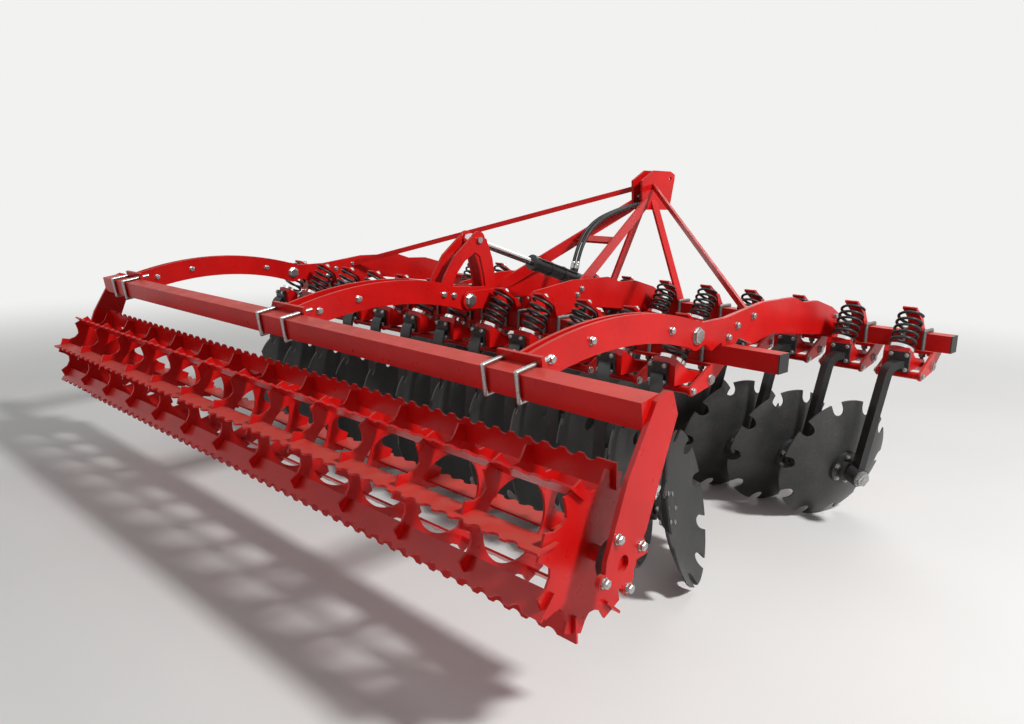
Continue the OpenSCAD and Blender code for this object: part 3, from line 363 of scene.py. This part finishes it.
# Fasteners: one tree stacks a washer, a hex, its chamfer and a stud end on every given place.
def fastener_tree():
    tree = bpy.data.node_groups.new("hex_fasteners", "GeometryNodeTree")
    face = tree.interface
    face.new_socket("Geometry", in_out="INPUT", socket_type="NodeSocketGeometry")
    for name in ("Washer Radius", "Washer Height", "Hex Radius", "Hex Height",
                 "Chamfer Radius", "Chamfer Height", "Stud Radius", "Stud Height"):
        face.new_socket(name, in_out="INPUT", socket_type="NodeSocketFloat")
    face.new_socket("Finish", in_out="INPUT", socket_type="NodeSocketMaterial")
    face.new_socket("Geometry", in_out="OUTPUT", socket_type="NodeSocketGeometry")
    given = tree.nodes.new("NodeGroupInput").outputs
    result = tree.nodes.new("NodeGroupOutput")
    stack = tree.nodes.new("GeometryNodeJoinGeometry")
    foot = 0.0
    for piece, low_piece, sides in (("Washer", "Washer", WASHER_SIDES), ("Hex", "Hex", HEX_SIDES),
                                    ("Chamfer", "Hex", HEX_SIDES), ("Stud", "Stud", STUD_SIDES)):
        height = given[piece + " Height"]
        turned = add_node(tree, "GeometryNodeMeshCone", {
            "Vertices": sides, "Depth": height,
            "Radius Bottom": given[low_piece + " Radius"], "Radius Top": given[piece + " Radius"]})
        lift = add_node(tree, "ShaderNodeCombineXYZ", {"Z": foot})
        raised = add_node(tree, "GeometryNodeTransform", {"Geometry": turned, "Translation": lift})
        set_node(tree, stack, {"Geometry": raised})
        foot = add_node(tree, "ShaderNodeMath", {0: foot, 1: height}, operation="ADD")
    axis = add_node(tree, "GeometryNodeInputNamedAttribute", {"Name": "axis"}, data_type="FLOAT_VECTOR")
    turn = add_node(tree, "FunctionNodeAlignRotationToVector", {"Vector": axis}, axis="Z")
    placed = add_node(tree, "GeometryNodeInstanceOnPoints", {
        "Points": given["Geometry"], "Instance": stack, "Rotation": turn})
    real = add_node(tree, "GeometryNodeRealizeInstances", {"Geometry": placed})
    done = add_node(tree, "GeometryNodeSetMaterial", {"Geometry": real, "Material": given["Finish"]})
    set_node(tree, result, {"Geometry": done})
    return tree


FASTENERS = fastener_tree()


def fasteners(name, body, places, size, finish=ZINC):
    """Hex fasteners of one size on a body; places are (point, axis the head points along)."""
    mesh = bpy.data.meshes.new(name)
    mesh.from_pydata([tuple(point) for point, axis in places], [], [])
    attribute = mesh.attributes.new("axis", "FLOAT_VECTOR", "POINT")
    for item, (point, axis) in zip(attribute.data, places):
        item.vector = Vector(axis).normalized()
    carrier = scene_object(name, mesh)
    modifier = carrier.modifiers.new("fasteners", "NODES")
    modifier.node_group = FASTENERS
    across, head, stud = size
    corner_r = across / (2 * math.cos(math.pi / HEX_SIDES))
    inputs = {
        "Washer Radius": across * WASHER_WIDTH_SHARE / 2,
        "Washer Height": head * WASHER_HEIGHT_SHARE,
        "Hex Radius": corner_r,
        "Hex Height": head * HEX_HEIGHT_SHARE,
        "Chamfer Radius": corner_r * CHAMFER_TOP_SHARE,
        "Chamfer Height": head * (1 - HEX_HEIGHT_SHARE),
        "Stud Radius": across * STUD_WIDTH_SHARE / 2,
        "Stud Height": stud,
        "Finish": finish,
    }
    for socket in FASTENERS.interface.items_tree:
        if socket.name in inputs:
            modifier[socket.identifier] = inputs[socket.name]
    evaluated = carrier.evaluated_get(bpy.context.evaluated_depsgraph_get())
    made = bpy.data.meshes.new_from_object(evaluated)
    carrier.modifiers.remove(modifier)
    carrier.data = made
    bpy.data.meshes.remove(mesh)
    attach(carrier, body)


# Hangers stand beside their discs: the front row's to the right of them, the rear row's to the left.
DOWN = Vector((0, 0, -1))
BACK = Vector((0, -1, 0))
LEAN = Vector((0, math.sin(SPRING_LEAN), math.cos(SPRING_LEAN)))
clamp_nuts, tube_heads, pin_nuts, pad_bolts, cap_nuts = [], [], [], [], []
for joint in DISC_JOINTS:
    side, beam = (1, FRONT_BEAM) if joint["name"].startswith("front") else (-1, REAR_BEAM)
    hanger = Vector((joint["pos_m"][0] + side * DISC_SIDE, beam.y, beam.z))
    for x in (-CLAMP_PITCH / 2, CLAMP_PITCH / 2):
        for y in (-CLAMP_LEG_Y, CLAMP_LEG_Y):
            clamp_nuts.append((hanger + Vector((x, y, -BEAM / 2 - CLAMP_T)), DOWN))
    for end in (-1, 1):
        out = Vector((end, 0, 0))
        tube_heads.append((hanger + Vector((end * HANGER_W / 2, *STOP_TUBE)), out))
        pin_nuts.append((hanger + Vector((end * HANGER_W / 2, *HOLDER_PIN)), out))
        for z in (-ARM_PAD_BOLT, ARM_PAD_BOLT):
            x = side * ARM_PAD_SIDE + end * ARM_PAD_BOLT
            pad_bolts.append((hanger + Vector((x, ARM_PAD_BACK, ARM_PAD_Z + z)), BACK))
    cap_nuts.append((hanger + Vector((0, *STRAP_TOP)), LEAN))

fasteners("clamp_nuts", "frame", clamp_nuts, CLAMP_NUT, DARK)
fasteners("cross_tube_bolts", "frame", tube_heads, LOW_BOLT)
fasteners("holder_pin_nuts", "frame", pin_nuts, HOLDER_NUT)
fasteners("arm_plate_bolts", "frame", pad_bolts, ARM_PAD_HEAD)
fasteners("spring_cap_bolts", "frame", cap_nuts, CAP_NUT)

# Each disc carries a ring of flange nuts on its back and the same ring in its hollow.
axle_nuts = []
for joint in DISC_JOINTS:
    disc_body = joint["child"]
    axis = Vector(joint["axis"]).normalized()
    centre = Vector(joint["pos_m"])
    ring = [centre + FLANGE_BOLT_R * out for out in ring_directions(axis, FLANGE_BOLTS)]
    on_back = [(point + (DISC_DISH + FLANGE_T) * axis, axis) for point in ring]
    in_hollow = [(point + (DISC_DISH - FLANGE_T) * axis, -axis) for point in ring]
    fasteners(disc_body + "_bolts", disc_body, on_back + in_hollow, DISC_NUT)
    axle_nuts.append((centre + BOSS_END * axis, axis))
fasteners("axle_nuts", "frame", axle_nuts, AXLE_NUT)


# Bolts through the frame's and the arms' plates.
def both_faces(plate_xs, half, places):
    """Heads on both faces of plates across X: half is from a plate's middle to its face."""
    return [(from_rear_beam(x + s * half, place), (s, 0, 0))
            for x in plate_xs for s in (-1, 1) for place in places]


bearing_turns = [math.radians(BEARING_BOLT_START + 360 / BEARING_BOLT_COUNT * k)
                 for k in range(BEARING_BOLT_COUNT)]
bearing_ring = [(ROLLER_AXIS[0] + BEARING_BOLT_R * math.cos(turn),
                 ROLLER_AXIS[1] + BEARING_BOLT_R * math.sin(turn)) for turn in bearing_turns]
# The inner plates show heads on their outer faces only, and the tower's cheeks on their inner faces.
inner_heads = [(point, axis) for point, axis in both_faces(INNER_PLATES, INNER_FACE, INNER_BOLTS)
               if point.x * axis[0] > 0]
tower_heads = [(point, (-axis[0], 0, 0))
               for point, axis in both_faces(MIDDLE, TOWER_INNER_FACE, TOWER_BOLTS)]
fasteners("bearing_bolts", "roller_frame", both_faces(MIDDLE, END_PLATE_FACE, bearing_ring), BEARING_BOLT)
fasteners("arm_spacer_bolts", "roller_frame", both_faces(SIDE_PLATES, ARM_FACE, ARM_BOLTS), PLATE_BOLT)
fasteners("arch_bolts", "roller_frame", both_faces(MIDDLE, ARCH_FACE, ARCH_BOLTS), PLATE_BOLT)
fasteners("arm_pivot_nuts", "frame", both_faces(SIDE_PLATES, ARM_PIN_END, PIVOT), PIVOT_NUT)
fasteners("centre_pivot_nuts", "frame", both_faces(MIDDLE, CENTRE_PIN_END, PIVOT), PIVOT_NUT)
fasteners("side_plate_bolts", "frame", both_faces(SIDE_PLATES, SIDE_FACE, SIDE_BOLTS), PLATE_BOLT)
fasteners("inner_plate_bolts", "frame", inner_heads, PLATE_BOLT)
fasteners("tower_bolts", "frame", tower_heads, LOW_BOLT)


# Hoses with their ferrules.
def hose_line(x):
    """A smooth line through the route's points, at one place across X."""
    points = [from_rear_beam(x, place) for place in HOSE_ROUTE]
    last = len(points) - 1
    line = []
    for i in range(last):
        a, b, c, d = (points[max(0, min(last, i + k))] for k in (-1, 0, 1, 2))
        for k in range(HOSE_STEPS):
            u = k / HOSE_STEPS
            line.append(b + u / 2 * (c - a) + u * u * (a - 2.5 * b + 2 * c - d / 2)
                        + u ** 3 * (1.5 * (b - c) + (d - a) / 2))
    return line + [points[last]]


def hydraulic_hose(name, line):
    curve = bpy.data.curves.new(name + "_line", "CURVE")
    curve.dimensions = "3D"
    curve.bevel_depth = HOSE_D / 2
    curve.bevel_resolution = 5
    curve.use_fill_caps = True
    spline = curve.splines.new("POLY")
    spline.points.add(len(line) - 1)
    for point, place in zip(spline.points, line):
        point.co = (*place, 1)
    curve.materials.append(RUBBER)
    piece = scene_object(name + "_cover", curve)
    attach(piece, "frame")
    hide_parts(name)
    length = sum((b - a).length for a, b in zip(line, line[1:]))
    tuple(line[0])


def ferrules(name, body, ends):
    """Crimped ferrules on hose ends; ends are (point, axis along the hose)."""
    vertices, faces = [], []
    for point, axis in ends:
        axis = axis.normalized()
        around = list(ring_directions(axis, FERRULE_SIDES))
        start = len(vertices)
        for radius, height in FERRULE:
            vertices += [point + height * MM * axis + radius * MM * out for out in around]
        for ring in range(len(FERRULE)):
            low = start + ring * FERRULE_SIDES
            high = start + (ring + 1) % len(FERRULE) * FERRULE_SIDES
            for k in range(FERRULE_SIDES):
                n = (k + 1) % FERRULE_SIDES
                faces.append((low + k, low + n, high + n, high + k))
    mesh = bpy.data.meshes.new(name)
    mesh.from_pydata([tuple(v) for v in vertices], [], faces)
    mesh.materials.append(ZINC)
    piece = scene_object(name, mesh)
    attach(piece, body)


port_ends, holder_ends = [], []
for hose_name, side in (("hose_left", -1), ("hose_right", 1)):
    line = hose_line(side * HOSE_X)
    hydraulic_hose(hose_name, line)
    port_ends.append((line[0], line[1] - line[0]))
    holder_ends.append((line[-1], line[-2] - line[-1]))
ferrules("port_ferrules", "barrel", port_ends)
ferrules("holder_ferrules", "frame", holder_ends)


# Pale floor, plain backdrop, one hard key lamp and two soft ones.
def seen_rays(tree):
    """1 for the rays that show a surface to the eye, straight, mirrored or through glass."""
    path = tree.nodes.new("ShaderNodeLightPath").outputs
    seen = add_node(tree, "ShaderNodeMath", {0: path["Is Camera Ray"], 1: path["Is Glossy Ray"]},
                    operation="ADD")
    return add_node(tree, "ShaderNodeMath", {0: seen, 1: path["Is Transmission Ray"]},
                    operation="ADD", use_clamp=True)


def studio_floor():
    material, tree, shader, place = new_material("pale_painted_floor")
    patch = add_node(tree, "ShaderNodeTexNoise", {"Vector": place, "Scale": 1 / FLOOR_PATCH, "Detail": 2.0})
    colour = add_node(tree, "ShaderNodeValToRGB", {"Fac": patch}, [(0.3, "#d5d4d2"), (0.7, "#dad9d7")])
    set_node(tree, shader, {"Base Color": colour, "Roughness": 0.85})
    away = add_node(tree, "ShaderNodeVectorMath", {0: place}, operation="LENGTH").outputs["Value"]
    fade = add_node(tree, "ShaderNodeMapRange", {
        "Value": away, "From Min": FADE_NEAR, "From Max": FADE_FAR}, interpolation_type="SMOOTHSTEP")
    share = add_node(tree, "ShaderNodeMath", {0: fade, 1: seen_rays(tree)}, operation="MULTIPLY")
    glow = add_node(tree, "ShaderNodeEmission", {"Color": linear(BACKDROP)})
    mixed = add_node(tree, "ShaderNodeMixShader", {0: share, 1: shader, 2: glow})
    set_node(tree, tree.nodes["Material Output"], {"Surface": mixed})
    mesh = bpy.data.meshes.new("studio_floor")
    corners = [(x * FLOOR_HALF, y * FLOOR_HALF, 0) for x, y in ((-1, -1), (1, -1), (1, 1), (-1, 1))]
    mesh.from_pydata(corners, [], [(0, 1, 2, 3)])
    mesh.materials.append(material)
    floor = scene_object("studio_floor", mesh)


def studio_world():
    world = bpy.data.worlds.new("studio_world")
    bpy.context.scene.world = world
    world.use_nodes = True
    tree = world.node_tree
    lighting = set_node(tree, tree.nodes["Background"], {
        "Color": linear("#e6e8ea"), "Strength": WORLD_STRENGTH})
    backdrop = add_node(tree, "ShaderNodeBackground", {"Color": linear(BACKDROP)})
    mixed = add_node(tree, "ShaderNodeMixShader", {0: seen_rays(tree), 1: lighting, 2: backdrop})
    set_node(tree, tree.nodes["World Output"], {"Surface": mixed})


def studio_lamps():
    for name, place, size, power in LAMPS:
        data = bpy.data.lights.new(name, "AREA")
        data.size = size
        data.energy = power
        lamp = scene_object(name, data)
        lamp.location = place
        aim = LAMP_AIM - lamp.location
        lamp.rotation_euler = aim.to_track_quat("-Z", "Y").to_euler()


def photo_camera():
    yaw, dip, roll = CAMERA_YAW, CAMERA_DIP, CAMERA_ROLL
    ahead = Vector((-math.sin(yaw) * math.cos(dip), math.cos(yaw) * math.cos(dip), -math.sin(dip)))
    level = Vector((math.cos(yaw), math.sin(yaw), 0))
    upward = level.cross(ahead)
    right = math.cos(roll) * level + math.sin(roll) * upward
    top = math.cos(roll) * upward - math.sin(roll) * level
    data = bpy.data.cameras.new("photo_camera")
    data.sensor_width = SENSOR_WIDTH
    data.lens = FOCAL_PIXELS / PICTURE_WIDTH * SENSOR_WIDTH
    camera = scene_object("photo_camera", data)
    turn = Matrix((right, top, -ahead)).transposed().to_4x4()
    camera.matrix_world = Matrix.Translation(CAMERA_PLACE) @ turn
    bpy.context.scene.camera = camera


studio_floor()
studio_world()
studio_lamps()
photo_camera()
bpy.context.scene.view_settings.view_transform = "Standard"
